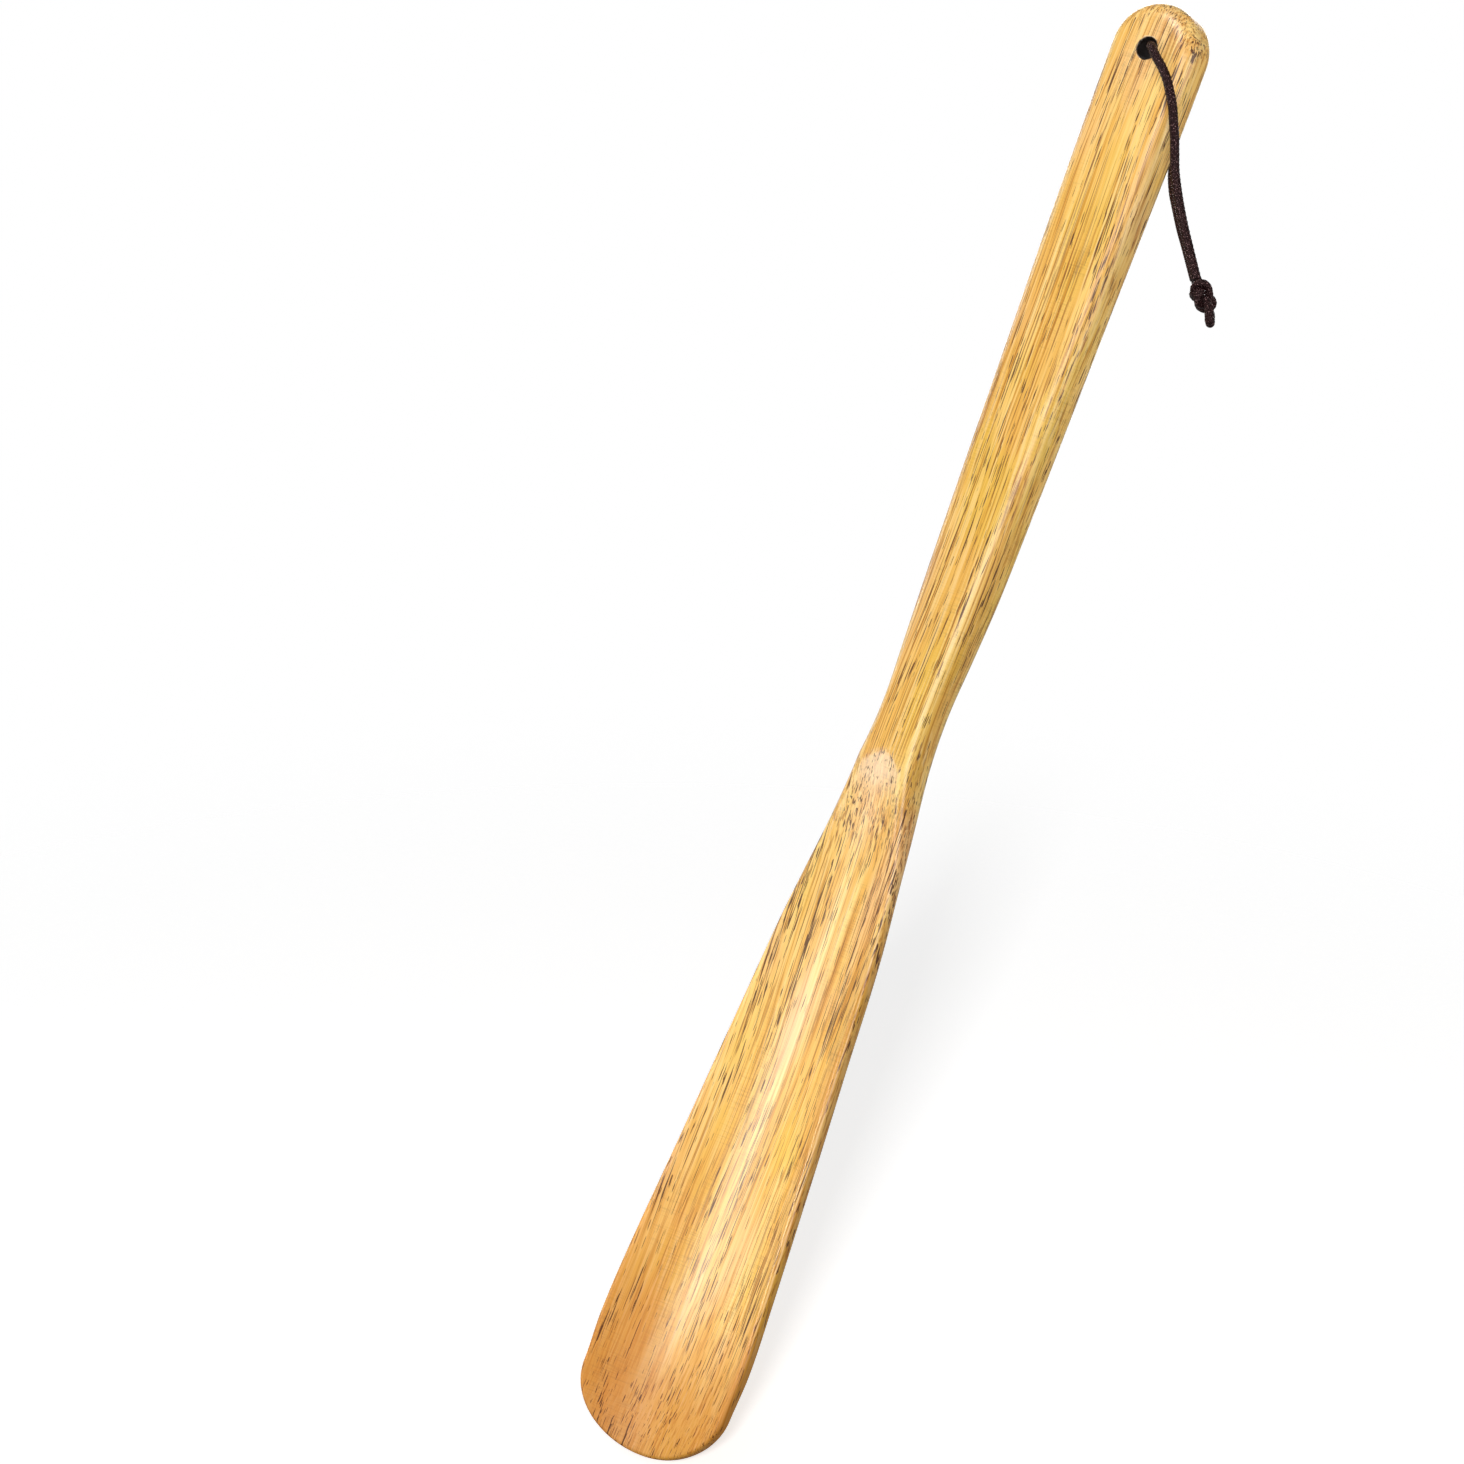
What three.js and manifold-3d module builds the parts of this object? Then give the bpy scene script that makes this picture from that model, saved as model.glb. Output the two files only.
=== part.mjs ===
// A long wooden shoehorn with its hanging cord, in millimetres, upright.
// +Z runs along the horn towards the end that is held, the scooped front faces -Y, and +X is
// to the right as seen from the front. The origin is on the axis of the hanging hole, at the
// middle of the handle's thickness.
import * as THREE from "three";
import { ParametricGeometry } from "three/addons/geometries/ParametricGeometry.js";
import { mergeVertices } from "three/addons/utils/BufferGeometryUtils.js";
import Module from "manifold-3d";

const wasm = await Module();
wasm.setup();

// ---- driving dimensions ----
const HORN_LENGTH = 380;
const HOLE_FROM_END = 12.5;
const HANDLE_THICKNESS = 13;
const END_RADIUS = 12.2; // the handle's rounded end, seen from the front
const TIP_LENGTH = 16.5; // the blade's rounded tip is half an ellipse this long
const HOLE_RADIUS = 2.75;
const HOLE_CHAMFER = 0.6;
const SCOOP_LIP = 0.4; // depth over which the scoop's edge turns softly into the flat front
const CORD_DIAMETER = 2.4;
const KNOT_RADIUS = 3.9;

const FRONT = -HANDLE_THICKNESS / 2;
const END_CENTRE = HORN_LENGTH - END_RADIUS; // distances along the horn are from the tip
const TIP_Z = HOLE_FROM_END - HORN_LENGTH;

// Shape of the horn at distances from the tip: [distance, value].
const halfWidthAt = through([
  [TIP_LENGTH, 22.5], [28, 23], [45, 22.3], [75, 20.1], [105, 17.7], [135, 15.3], [158, 12.3],
  [180, 8.6], [196, 7.7], [212, 8.4], [232, 9.2], [280, 10.5], [335, 11.8], [END_CENTRE, END_RADIUS],
]);
// How far behind the front plane the floor of the scoop lies. Above the plane it cuts nothing.
const scoopFloorAt = through([
  [0, 3.6], [16, 5.2], [40, 6.4], [70, 7.1], [100, 7.3], [130, 7], [150, 6.2], [162, 5.2],
  [172, 3.2], [184, 0], [196, -3.4], [HORN_LENGTH, -30],
]);
// How fast the scoop and the back fall away from the middle, as depth over half-width squared.
const scoopCurveAt = through([
  [0, 0.007], [25, 0.008], [45, 0.0098], [75, 0.012], [105, 0.0146], [135, 0.0158],
  [160, 0.019], [178, 0.034], [200, 0.036],
]);
const backCurveAt = through([
  [0, 0.005], [26, 0.0053], [48, 0.0075], [75, 0.0084], [105, 0.0105], [135, 0.0138],
  [160, 0.021], [180, 0.012], [200, 0],
]);
// The back's distance behind the front plane, at the middle.
const backAt = through([
  [0, 6], [16, 7.9], [40, 9.4], [70, 10.2], [100, 11], [130, 11.8], [165, 12.4], [195, 12.6],
  [230, 14], [320, HANDLE_THICKNESS], [HORN_LENGTH, HANDLE_THICKNESS],
]);
const frontEdgeRadiusAt = through([[0, 1], [60, 1.3], [150, 1.5], [172, 2.4], [195, 4], [240, 4.5]]);
const backEdgeRadiusAt = through([[0, 1.1], [60, 1.7], [130, 3], [180, 4.3], [240, 4.5]]);

// The cord's two strands leave the hole's two mouths, come round the right-hand edge of the
// handle and meet in the knot.
const FRONT_STRAND = [
  [-0.3, -0.15, 0.1], [-0.3, -1.8, 0.1], [-0.1, -3.9, 0.6], [0.7, -6.1, 0.9], [2.4, -7.9, 0.2],
  [4.8, -8.7, -1.6], [7.5, -8.7, -3.7], [9.9, -8.4, -6.2], [11.8, -7.7, -9.2], [13.2, -6.5, -12.3],
  [14.3, -5.3, -15.8], [15.3, -4.2, -19], [16.3, -3.2, -22.6], [17.7, -2.5, -26.6],
  [20.2, -2, -31.3], [22.8, -1.8, -35.4], [25.4, -1.6, -39.2], [28.2, -1.4, -43],
  [31, -1.3, -46.7], [33.7, -1.2, -50.2],
];
const BACK_STRAND = [
  [-0.3, 0.15, 0.1], [-0.3, 1.8, 0.1], [-0.1, 3.9, -0.1], [0.2, 6.1, -0.7], [0.7, 7.9, -2.2],
  [1.5, 8.6, -4.8], [2.6, 8.6, -8.4], [3.8, 8.4, -12.2], [5.4, 8.3, -16], [7.5, 8.2, -20],
  [9.9, 7.5, -23.8], [12.4, 5.8, -27.6], [15.4, 4.2, -31.4], [18.8, 3.1, -35.3],
  [22.1, 2.3, -39.2], [25.5, 1.8, -43], [28.7, 1.4, -46.7], [31.6, 1.2, -50.2],
];
const KNOT_CENTRE = [36.4, 0, -53.8];
const FRONT_TAIL = [[40.2, -1.4, -56.4], [41, -1.4, -58.1], [41.8, -1.4, -59.9]];
const BACK_TAIL = [[39.2, 1.6, -57.4], [39.7, 1.7, -58.8], [40.2, 1.7, -60.2]];

// Fineness of the facets. The zones say how many ribs stand between two distances from the tip.
const RIB_ZONES = [[TIP_LENGTH, 150, 13], [150, 204, 20], [204, END_CENTRE, 12]];
const RIBS_ROUND_AN_END = 9;
const FACE_STEPS = 6;
const CORNER_STEPS = 3;
const HOLE_SIDES = 24;
const CORD_SIDES = 8;
const STRAND_STEPS = 26;
const TAIL_STEPS = 3;

const WOOD = new THREE.MeshStandardMaterial({ color: 0xc98f3e, roughness: 0.35, metalness: 0 });
const CORD = new THREE.MeshStandardMaterial({ color: 0x2b1614, roughness: 0.45, metalness: 0 });

// A smooth curve through [place, value] points. It is level at both ends, at each high or low
// point and along each level stretch, and its ends' values are held beyond them.
function through(points) {
  const slope = (i) => {
    if (i === 0 || i === points.length - 1) return 0;
    const [before, here, after] = points.slice(i - 1, i + 2);
    if ((here[1] - before[1]) * (after[1] - here[1]) <= 0) return 0;
    return (after[1] - before[1]) / (after[0] - before[0]);
  };
  return (place) => {
    if (place <= points[0][0]) return points[0][1];
    const i = points.findIndex((point) => point[0] >= place) - 1;
    if (i < -1) return points.at(-1)[1];
    const [[x0, y0], [x1, y1]] = [points[i], points[i + 1]];
    const run = x1 - x0;
    const t = (place - x0) / run;
    const rise = y0 + (y1 - y0) * t * t * (3 - 2 * t);
    return rise + run * t * (1 - t) * ((1 - t) * slope(i) - t * slope(i + 1));
  };
}

// Depth behind the front plane of the horn's front and back, at a place seen from the front.
function frontDepth(x, fromTip) {
  const scoop = scoopFloorAt(fromTip) - scoopCurveAt(fromTip) * x * x;
  if (Math.abs(scoop) >= SCOOP_LIP) return Math.max(scoop, 0);
  return (scoop + SCOOP_LIP) ** 2 / (4 * SCOOP_LIP);
}

function backDepth(x, fromTip) {
  return backAt(fromTip) - backCurveAt(fromTip) * x * x;
}

// The rounded corner where a face meets the side wall, in the plane of one rib. It starts in
// line with the face and turns until it faces straight out. face gives the depth at a distance
// from the middle, and sign is -1 on the front and +1 on the back.
function corner(face, reach, radius, sign) {
  let inward = 0;
  let lean = 0;
  for (let round = 0; round < 4; round += 1) {
    inward = reach - radius * (1 - Math.sin(lean));
    lean = Math.atan(-sign * (face(inward + 0.05) - face(inward - 0.05)) / 0.1);
  }
  const depth = face(inward) - sign * radius * Math.cos(lean);
  return { inward, at: (t) => {
    const angle = lean + (Math.PI / 2 - lean) * t;
    return [reach - radius + radius * Math.sin(angle), depth + sign * radius * Math.cos(angle)];
  } };
}

// A rib stands on the horn's middle line and reaches out to its edge. The ribs are square to the
// horn along its length and fan out round its two ends. Places are [x, distance from the tip].
function ribsOnOneSide() {
  const ribs = [];
  const tipWidth = halfWidthAt(TIP_LENGTH);
  const quarter = Math.PI / 2 / RIBS_ROUND_AN_END;
  for (let i = 0; i < RIBS_ROUND_AN_END; i += 1) {
    const edge = [tipWidth * Math.sin(i * quarter), TIP_LENGTH * (1 - Math.cos(i * quarter))];
    ribs.push({ from: [0, TIP_LENGTH], to: edge });
  }
  for (const [start, end, count] of RIB_ZONES) {
    for (let i = 0; i < count; i += 1) {
      const place = start + ((end - start) * i) / count;
      ribs.push({ from: [0, place], to: [halfWidthAt(place), place] });
    }
  }
  for (let i = 0; i <= RIBS_ROUND_AN_END; i += 1) {
    const edge = [END_RADIUS * Math.cos(i * quarter), END_CENTRE + END_RADIUS * Math.sin(i * quarter)];
    ribs.push({ from: [0, END_CENTRE], to: edge });
  }
  return ribs;
}

// The points of one rib, from the middle of the front round the edge to the middle of the back.
function ribPoints({ from, to }) {
  const reach = Math.hypot(to[0] - from[0], to[1] - from[1]);
  const along = (distance) => [0, 1].map((i) => from[i] + ((to[i] - from[i]) * distance) / reach);
  const front = (distance) => frontDepth(...along(distance));
  const back = (distance) => backDepth(...along(distance));
  const frontCorner = corner(front, reach, frontEdgeRadiusAt(to[1]), -1);
  const backCorner = corner(back, reach, backEdgeRadiusAt(to[1]), 1);
  const steps = (count) => Array.from({ length: count }, (_, i) => i / count);
  const profile = [
    ...steps(FACE_STEPS).map((t) => [frontCorner.inward * t, front(frontCorner.inward * t)]),
    ...[...steps(CORNER_STEPS), 1].map(frontCorner.at),
    ...[...steps(CORNER_STEPS), 1].reverse().map(backCorner.at),
    ...steps(FACE_STEPS).reverse().map((t) => [backCorner.inward * t, back(backCorner.inward * t)]),
  ];
  return profile.map(([distance, depth]) => {
    const [x, fromTip] = along(distance);
    return new THREE.Vector3(x, FRONT + depth, TIP_Z + fromTip);
  });
}

// A closed skin over the ribs of the right side and their mirror images on the left.
function hornBlank() {
  const right = ribsOnOneSide().map(ribPoints);
  const mirrored = right.map((rib) => rib.map((p) => new THREE.Vector3(-p.x, p.y, p.z)));
  const ribs = [...mirrored, ...right.reverse()];
  const across = ribs[0].length - 1;
  const place = (u, v, target) => target.copy(ribs[Math.round(u * (ribs.length - 1))][Math.round(v * across)]);
  return new ParametricGeometry(place, ribs.length - 1, across);
}

// A geometry as a solid, with its shared corners merged and its empty faces left out.
function solidOf(geometry) {
  geometry.deleteAttribute("normal");
  geometry.deleteAttribute("uv");
  const merged = mergeVertices(geometry, 1e-4);
  const corners = [...merged.index.array];
  const faces = [];
  for (let i = 0; i < corners.length; i += 3) {
    const [a, b, c] = corners.slice(i, i + 3);
    if (a !== b && b !== c && c !== a) faces.push(a, b, c);
  }
  return new wasm.Manifold(new wasm.Mesh({
    numProp: 3,
    vertProperties: merged.attributes.position.array,
    triVerts: new Uint32Array(faces),
  }));
}

function geometryOf(solid) {
  const { vertProperties, triVerts } = solid.getMesh();
  const geometry = new THREE.BufferGeometry();
  geometry.setAttribute("position", new THREE.BufferAttribute(vertProperties, 3));
  geometry.setIndex(new THREE.BufferAttribute(triVerts, 1));
  geometry.computeVertexNormals();
  return geometry;
}

// The drill that makes the hanging hole and breaks its two edges.
function holeCutter() {
  const past = 1;
  const reach = HANDLE_THICKNESS / 2;
  const wide = HOLE_RADIUS + HOLE_CHAMFER + past;
  const outline = [
    [0, -reach - past], [wide, -reach - past], [HOLE_RADIUS, HOLE_CHAMFER - reach],
    [HOLE_RADIUS, reach - HOLE_CHAMFER], [wide, reach + past], [0, reach + past],
  ];
  return new THREE.LatheGeometry(outline.map(([x, y]) => new THREE.Vector2(x, y)), HOLE_SIDES);
}

function woodenHorn() {
  const drilled = solidOf(hornBlank()).subtract(solidOf(holeCutter()));
  return named("wooden_horn", geometryOf(drilled), WOOD);
}

function cordPiece(name, route, steps) {
  const section = new THREE.Shape();
  for (let i = 0; i < CORD_SIDES; i += 1) {
    const turn = (2 * Math.PI * i) / CORD_SIDES;
    const point = [(CORD_DIAMETER / 2) * Math.cos(turn), (CORD_DIAMETER / 2) * Math.sin(turn)];
    if (i === 0) section.moveTo(...point);
    else section.lineTo(...point);
  }
  const path = new THREE.CatmullRomCurve3(route.map((p) => new THREE.Vector3(...p)));
  return named(name, new THREE.ExtrudeGeometry(section, { steps, extrudePath: path }), CORD);
}

function cordKnot() {
  const knot = named("cord_knot", new THREE.SphereGeometry(KNOT_RADIUS, 16, 12), CORD);
  knot.position.set(...KNOT_CENTRE);
  return knot;
}

function named(name, geometry, material) {
  const mesh = new THREE.Mesh(geometry, material);
  mesh.name = name;
  return mesh;
}

const shoehorn = new THREE.Group();
const cordLoop = new THREE.Group();
cordLoop.add(
  cordPiece("cord_front_strand", FRONT_STRAND, STRAND_STEPS),
  cordPiece("cord_back_strand", BACK_STRAND, STRAND_STEPS),
  cordKnot(),
  cordPiece("cord_front_tail", FRONT_TAIL, TAIL_STEPS),
  cordPiece("cord_back_tail", BACK_TAIL, TAIL_STEPS),
);
shoehorn.add(woodenHorn(), cordLoop);

export default shoehorn;
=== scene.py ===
"""The looks of a long wooden shoehorn and its braided hanging cord, in metres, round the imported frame.

+Z runs along the horn towards the end that is held, the scooped front faces -Y, and the origin is
on the axis of the hanging hole.
"""

import math

import bmesh
import bpy
import numpy as np
from mathutils import Matrix, Vector, noise


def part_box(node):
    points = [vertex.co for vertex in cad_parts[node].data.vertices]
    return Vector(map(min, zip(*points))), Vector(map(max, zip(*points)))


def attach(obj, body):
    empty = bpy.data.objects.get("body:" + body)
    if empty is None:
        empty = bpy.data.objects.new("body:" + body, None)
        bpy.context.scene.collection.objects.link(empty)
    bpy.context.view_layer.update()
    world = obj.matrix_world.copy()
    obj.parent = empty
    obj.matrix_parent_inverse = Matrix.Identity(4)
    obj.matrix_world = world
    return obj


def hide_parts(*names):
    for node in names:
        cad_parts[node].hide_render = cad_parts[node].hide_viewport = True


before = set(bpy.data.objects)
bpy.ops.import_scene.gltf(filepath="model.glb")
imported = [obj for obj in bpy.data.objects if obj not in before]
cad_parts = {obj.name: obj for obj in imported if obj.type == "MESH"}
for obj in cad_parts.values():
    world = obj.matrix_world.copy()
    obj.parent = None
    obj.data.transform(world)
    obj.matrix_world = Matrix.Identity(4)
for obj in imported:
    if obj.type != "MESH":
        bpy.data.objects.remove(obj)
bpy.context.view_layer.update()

# ---- driving dimensions ----
HORN_LOW, HORN_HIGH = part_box("wooden_horn")
FRONT = HORN_LOW.y
TIP_Z = HORN_LOW.z
HANDLE_END_Z = HORN_HIGH.z
HANDLE_THICKNESS = 0.013
HORN_LENGTH = HANDLE_END_Z - TIP_Z
END_RADIUS = 0.0122  # the handle's rounded end, seen from the front
END_CENTRE = HORN_LENGTH - END_RADIUS  # distances along the horn are from the tip
TIP_LENGTH = 0.0165  # the blade's rounded tip is half an ellipse this long
HOLE_RADIUS = 0.00275
HOLE_CHAMFER = 0.0006
SCOOP_LIP = 0.0002  # depth over which the scoop's edge turns softly into the flat front
CORD_DIAMETER = 0.0024
KNOT_CORD_DIAMETER = 0.0019  # the braid is pressed thinner inside the knot

# The cord's two strands, from the middle of the hole out of its two mouths to the knot.
FRONT_STRAND = [
    (-0.0003, -0.00015, 0.0001), (-0.0003, -0.0018, 0.0001), (-0.0001, -0.0039, 0.0006),
    (0.0007, -0.0061, 0.0009), (0.0024, -0.0079, 0.0002), (0.0048, -0.0087, -0.0016),
    (0.0075, -0.0087, -0.0037), (0.0099, -0.0084, -0.0062), (0.0118, -0.0077, -0.0092),
    (0.0132, -0.0065, -0.0123), (0.0143, -0.0053, -0.0158), (0.0153, -0.0042, -0.0190),
    (0.0163, -0.0032, -0.0226), (0.0177, -0.0025, -0.0266), (0.0202, -0.0020, -0.0313),
    (0.0228, -0.0018, -0.0354), (0.0254, -0.0016, -0.0392), (0.0282, -0.0014, -0.0430),
    (0.0310, -0.0013, -0.0467), (0.0337, -0.0012, -0.0502),
]
BACK_STRAND = [
    (-0.0003, 0.00015, 0.0001), (-0.0003, 0.0018, 0.0001), (-0.0001, 0.0039, -0.0001),
    (0.0002, 0.0061, -0.0007), (0.0007, 0.0079, -0.0022), (0.0015, 0.0086, -0.0048),
    (0.0026, 0.0086, -0.0084), (0.0038, 0.0084, -0.0122), (0.0054, 0.0083, -0.0160),
    (0.0075, 0.0082, -0.0200), (0.0099, 0.0075, -0.0238), (0.0124, 0.0058, -0.0276),
    (0.0154, 0.0042, -0.0314), (0.0188, 0.0031, -0.0353), (0.0221, 0.0023, -0.0392),
    (0.0255, 0.0018, -0.0430), (0.0287, 0.0014, -0.0467), (0.0316, 0.0012, -0.0502),
]
KNOT_CENTRE = Vector((0.0371, 0.0, -0.0545))
FRONT_TAIL = [(0.0402, -0.0014, -0.0564), (0.0410, -0.0014, -0.0581), (0.0418, -0.0014, -0.0599)]
BACK_TAIL = [(0.0392, 0.0016, -0.0574), (0.0397, 0.0017, -0.0588), (0.0402, 0.0017, -0.0602)]

# ---- camera: where the front is seen from, and how far the horn leans to the side ----
VIEW_AZIMUTH = math.radians(34.5)
HORN_LEAN = math.radians(20.4)
LENS = 180
SENSOR = 36
VIEW_WIDTH = 0.3594
VIEW_CENTRE = Vector((-0.0304, -0.0274, -0.1929))


def camera_axes():
    """The view's right and up, and the way back to the camera."""
    back = Vector((math.sin(VIEW_AZIMUTH), -math.cos(VIEW_AZIMUTH), 0))
    level = Vector((math.cos(VIEW_AZIMUTH), math.sin(VIEW_AZIMUTH), 0))
    upright = Vector((0, 0, 1))
    right = level * math.cos(HORN_LEAN) + upright * math.sin(HORN_LEAN)
    up = upright * math.cos(HORN_LEAN) - level * math.sin(HORN_LEAN)
    return right, up, back


def add_camera():
    right, up, back = camera_axes()
    data = bpy.data.cameras.new("camera")
    data.lens = LENS
    data.sensor_width = SENSOR
    camera = bpy.data.objects.new("camera", data)
    bpy.context.scene.collection.objects.link(camera)
    distance = VIEW_WIDTH * LENS / SENSOR
    turned = Matrix((right, up, back)).transposed().to_4x4()
    camera.matrix_world = Matrix.Translation(VIEW_CENTRE + back * distance) @ turned
    data.clip_start = 0.01
    data.clip_end = 20
    bpy.context.scene.camera = camera


# ---- mesh helpers ----
def finished(name, work, body, material):
    """A piece from a bmesh, on its body, with its material."""
    mesh = bpy.data.meshes.new(name)
    work.to_mesh(mesh)
    work.free()
    mesh.materials.append(material)
    mesh.shade_smooth()
    piece = bpy.data.objects.new(name, mesh)
    bpy.context.scene.collection.objects.link(piece)
    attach(piece, body)
    return piece


def laid_out_grid(rows):
    """A bmesh skin over rows of points, with a UV map of (place in the row, place of the row)."""
    across = len(rows[0]) - 1
    along = len(rows) - 1
    work = bmesh.new()
    work.loops.layers.uv.new("UVMap")
    bmesh.ops.create_grid(work, x_segments=along, y_segments=across, size=1, calc_uvs=True)
    for vertex in work.verts:
        i = round((vertex.co.x + 1) / 2 * along)
        j = round((vertex.co.y + 1) / 2 * across)
        vertex.co = rows[i][j]
    return work


# ---- the horn ----
def through(points):
    """A smooth curve through (place, value) points.

    It is level at both ends, at each high or low point and along each level stretch, and its ends'
    values are held beyond them.
    """
    slopes = [0.0] * len(points)
    for i in range(1, len(points) - 1):
        before, here, after = points[i - 1 : i + 2]
        if (here[1] - before[1]) * (after[1] - here[1]) > 0:
            slopes[i] = (after[1] - before[1]) / (after[0] - before[0])

    def value(place):
        if place <= points[0][0]:
            return points[0][1]
        if place >= points[-1][0]:
            return points[-1][1]
        i = next(k for k in range(1, len(points)) if points[k][0] >= place) - 1
        (x0, y0), (x1, y1) = points[i], points[i + 1]
        run = x1 - x0
        t = (place - x0) / run
        rise = y0 + (y1 - y0) * t * t * (3 - 2 * t)
        return rise + run * t * (1 - t) * ((1 - t) * slopes[i] - t * slopes[i + 1])

    return value


# Shape of the horn at distances from the tip: (distance, value).
half_width_at = through([
    (TIP_LENGTH, 0.0225), (0.028, 0.023), (0.045, 0.0223), (0.075, 0.0201), (0.105, 0.0177),
    (0.135, 0.0153), (0.158, 0.0123), (0.180, 0.0086), (0.196, 0.0077), (0.212, 0.0084),
    (0.232, 0.0092), (0.280, 0.0105), (0.335, 0.0118), (END_CENTRE, END_RADIUS),
])
# How far behind the front plane the floor of the scoop lies. Above the plane it cuts nothing.
scoop_floor_at = through([
    (0, 0.0036), (0.016, 0.0052), (0.040, 0.0064), (0.070, 0.0071), (0.100, 0.0073),
    (0.130, 0.0070), (0.150, 0.0062), (0.162, 0.0052), (0.172, 0.0032), (0.184, 0),
    (0.196, -0.0034), (HORN_LENGTH, -0.030),
])
# How fast the scoop and the back fall away from the middle, as depth over half-width squared.
scoop_curve_at = through([
    (0, 7), (0.025, 8), (0.045, 9.8), (0.075, 12), (0.105, 14.6), (0.135, 15.8), (0.160, 19),
    (0.178, 34), (0.200, 36),
])
back_curve_at = through([
    (0, 5), (0.026, 5.3), (0.048, 7.5), (0.075, 8.4), (0.105, 10.5), (0.135, 13.8), (0.160, 21),
    (0.180, 12), (0.200, 0),
])
# The back's distance behind the front plane, at the middle.
back_at = through([
    (0, 0.006), (0.016, 0.0079), (0.040, 0.0094), (0.070, 0.0102), (0.100, 0.011),
    (0.130, 0.0118), (0.165, 0.0124), (0.195, 0.0126), (0.230, 0.014), (0.320, HANDLE_THICKNESS),
    (HORN_LENGTH, HANDLE_THICKNESS),
])
front_edge_radius_at = through([
    (0, 0.001), (0.060, 0.0013), (0.150, 0.0015), (0.172, 0.0024), (0.195, 0.004), (0.240, 0.0045),
])
back_edge_radius_at = through([
    (0, 0.0011), (0.060, 0.0017), (0.130, 0.003), (0.180, 0.0043), (0.240, 0.0045),
])

# Fineness of the skin. The zones say how many ribs stand between two distances from the tip.
RIB_ZONES = [(TIP_LENGTH, 0.150, 66), (0.150, 0.200, 50), (0.200, END_CENTRE, 80)]
RIBS_ROUND_AN_END = 26
FACE_STEPS = 34
CORNER_STEPS = 7
CORNER_ROUNDS = 4  # how often a corner's start is put in line with its face
WALL_STEPS = 4


def front_depth(x, from_tip):
    scoop = scoop_floor_at(from_tip) - scoop_curve_at(from_tip) * x * x
    if abs(scoop) >= SCOOP_LIP:
        return max(scoop, 0)
    return (scoop + SCOOP_LIP) ** 2 / (4 * SCOOP_LIP)


def back_depth(x, from_tip):
    return back_at(from_tip) - back_curve_at(from_tip) * x * x


def corner(face, reach, radius, sign):
    """The rounded corner between a face and the side wall: where it starts, and its points.

    It starts in line with the face and turns until it faces straight out. sign is -1 on the front
    and +1 on the back.
    """
    step = 0.00005
    lean = 0
    for _ in range(CORNER_ROUNDS):
        inward = reach - radius * (1 - math.sin(lean))
        lean = math.atan(-sign * (face(inward + step) - face(inward - step)) / (2 * step))
    depth = face(inward) - sign * radius * math.cos(lean)
    points = []
    for i in range(CORNER_STEPS + 1):
        angle = lean + (math.pi / 2 - lean) * i / CORNER_STEPS
        outward = reach - radius + radius * math.sin(angle)
        points.append((outward, depth + sign * radius * math.cos(angle)))
    return inward, points


def ribs_on_one_side():
    """Each rib's foot on the middle line and its end on the edge, as (x, distance from the tip)."""
    ribs = []
    tip_width = half_width_at(TIP_LENGTH)
    quarter = math.pi / 2 / RIBS_ROUND_AN_END
    for i in range(RIBS_ROUND_AN_END):
        turn = i * quarter
        edge = (tip_width * math.sin(turn), TIP_LENGTH * (1 - math.cos(turn)))
        ribs.append(((0, TIP_LENGTH), edge))
    for start, end, count in RIB_ZONES:
        for i in range(count):
            place = start + (end - start) * i / count
            ribs.append(((0, place), (half_width_at(place), place)))
    for i in range(RIBS_ROUND_AN_END + 1):
        turn = i * quarter
        edge = (END_RADIUS * math.cos(turn), END_CENTRE + END_RADIUS * math.sin(turn))
        ribs.append(((0, END_CENTRE), edge))
    return ribs


def rib_points(foot, edge):
    """One rib's points, from the middle of the front round the edge to the middle of the back."""
    reach = math.dist(foot, edge)
    way = ((edge[0] - foot[0]) / reach, (edge[1] - foot[1]) / reach)

    def front(distance):
        return front_depth(foot[0] + way[0] * distance, foot[1] + way[1] * distance)

    def back(distance):
        return back_depth(foot[0] + way[0] * distance, foot[1] + way[1] * distance)

    front_inward, front_corner = corner(front, reach, front_edge_radius_at(edge[1]), -1)
    back_inward, back_corner = corner(back, reach, back_edge_radius_at(edge[1]), 1)
    profile = []
    for i in range(FACE_STEPS):
        distance = front_inward * i / FACE_STEPS
        profile.append((distance, front(distance)))
    profile += front_corner
    wall_start, wall_end = front_corner[-1], back_corner[-1]
    for i in range(1, WALL_STEPS):
        depth = wall_start[1] + (wall_end[1] - wall_start[1]) * i / WALL_STEPS
        profile.append((reach, depth))
    profile += reversed(back_corner)
    for i in reversed(range(FACE_STEPS)):
        distance = back_inward * i / FACE_STEPS
        profile.append((distance, back(distance)))
    return [
        Vector((foot[0] + way[0] * out, FRONT + depth, TIP_Z + foot[1] + way[1] * out))
        for out, depth in profile
    ]


def sand_by_hand(work):
    """The small unevenness that hand sanding leaves, under a tenth of a millimetre."""
    depth = 0.00007
    waves_across = 90
    waves_along = 34
    for vertex in work.verts:
        x, y, z = vertex.co
        place = Vector((x * waves_across, y * waves_across, z * waves_along))
        vertex.co += vertex.normal * depth * noise.noise(place)


def horn_blank():
    right_side = [rib_points(foot, edge) for foot, edge in ribs_on_one_side()]
    work = laid_out_grid(right_side)
    everything = work.verts[:] + work.edges[:] + work.faces[:]
    bmesh.ops.mirror(work, geom=everything, axis="X", merge_dist=1e-6)
    bmesh.ops.remove_doubles(work, verts=work.verts, dist=2e-6)
    bmesh.ops.dissolve_degenerate(work, edges=work.edges, dist=1e-7)
    bmesh.ops.recalc_face_normals(work, faces=work.faces)
    work.normal_update()
    sand_by_hand(work)
    return work


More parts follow.
